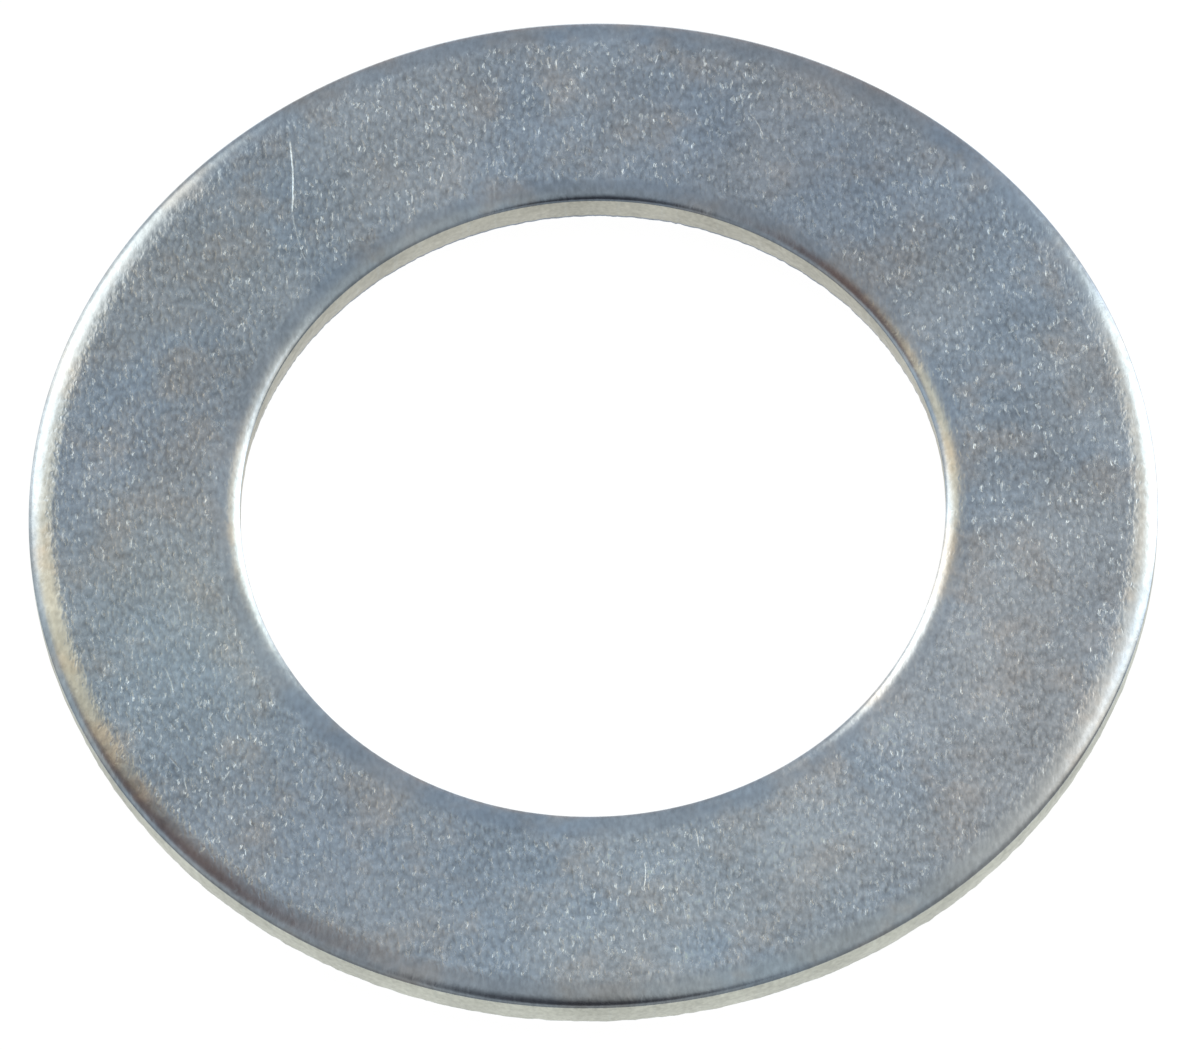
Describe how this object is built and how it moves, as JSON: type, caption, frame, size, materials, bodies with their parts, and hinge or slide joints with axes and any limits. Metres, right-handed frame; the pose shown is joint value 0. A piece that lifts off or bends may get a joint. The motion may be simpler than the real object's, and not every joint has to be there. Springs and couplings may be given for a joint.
{
  "type": "flat washer",
  "caption": "Narrow-rim round flat washer of zinc-plated stamped sheet steel, with rounded top edges and a plain bore.",
  "frame": {"origin": "centre of the washer's bottom face, on the bore axis", "axes": "+Z along the bore axis, from the burred bottom face to the rounded top face; X and Y lie in the bottom face"},
  "size_m": [0.0318, 0.0318, 0.0012],
  "materials": {
    "zinc_plate": "satin clear zinc plating, finely tumbled"
  },
  "bodies": {
    "root": {"washer": "zinc_plate"}
  },
  "joints": []
}
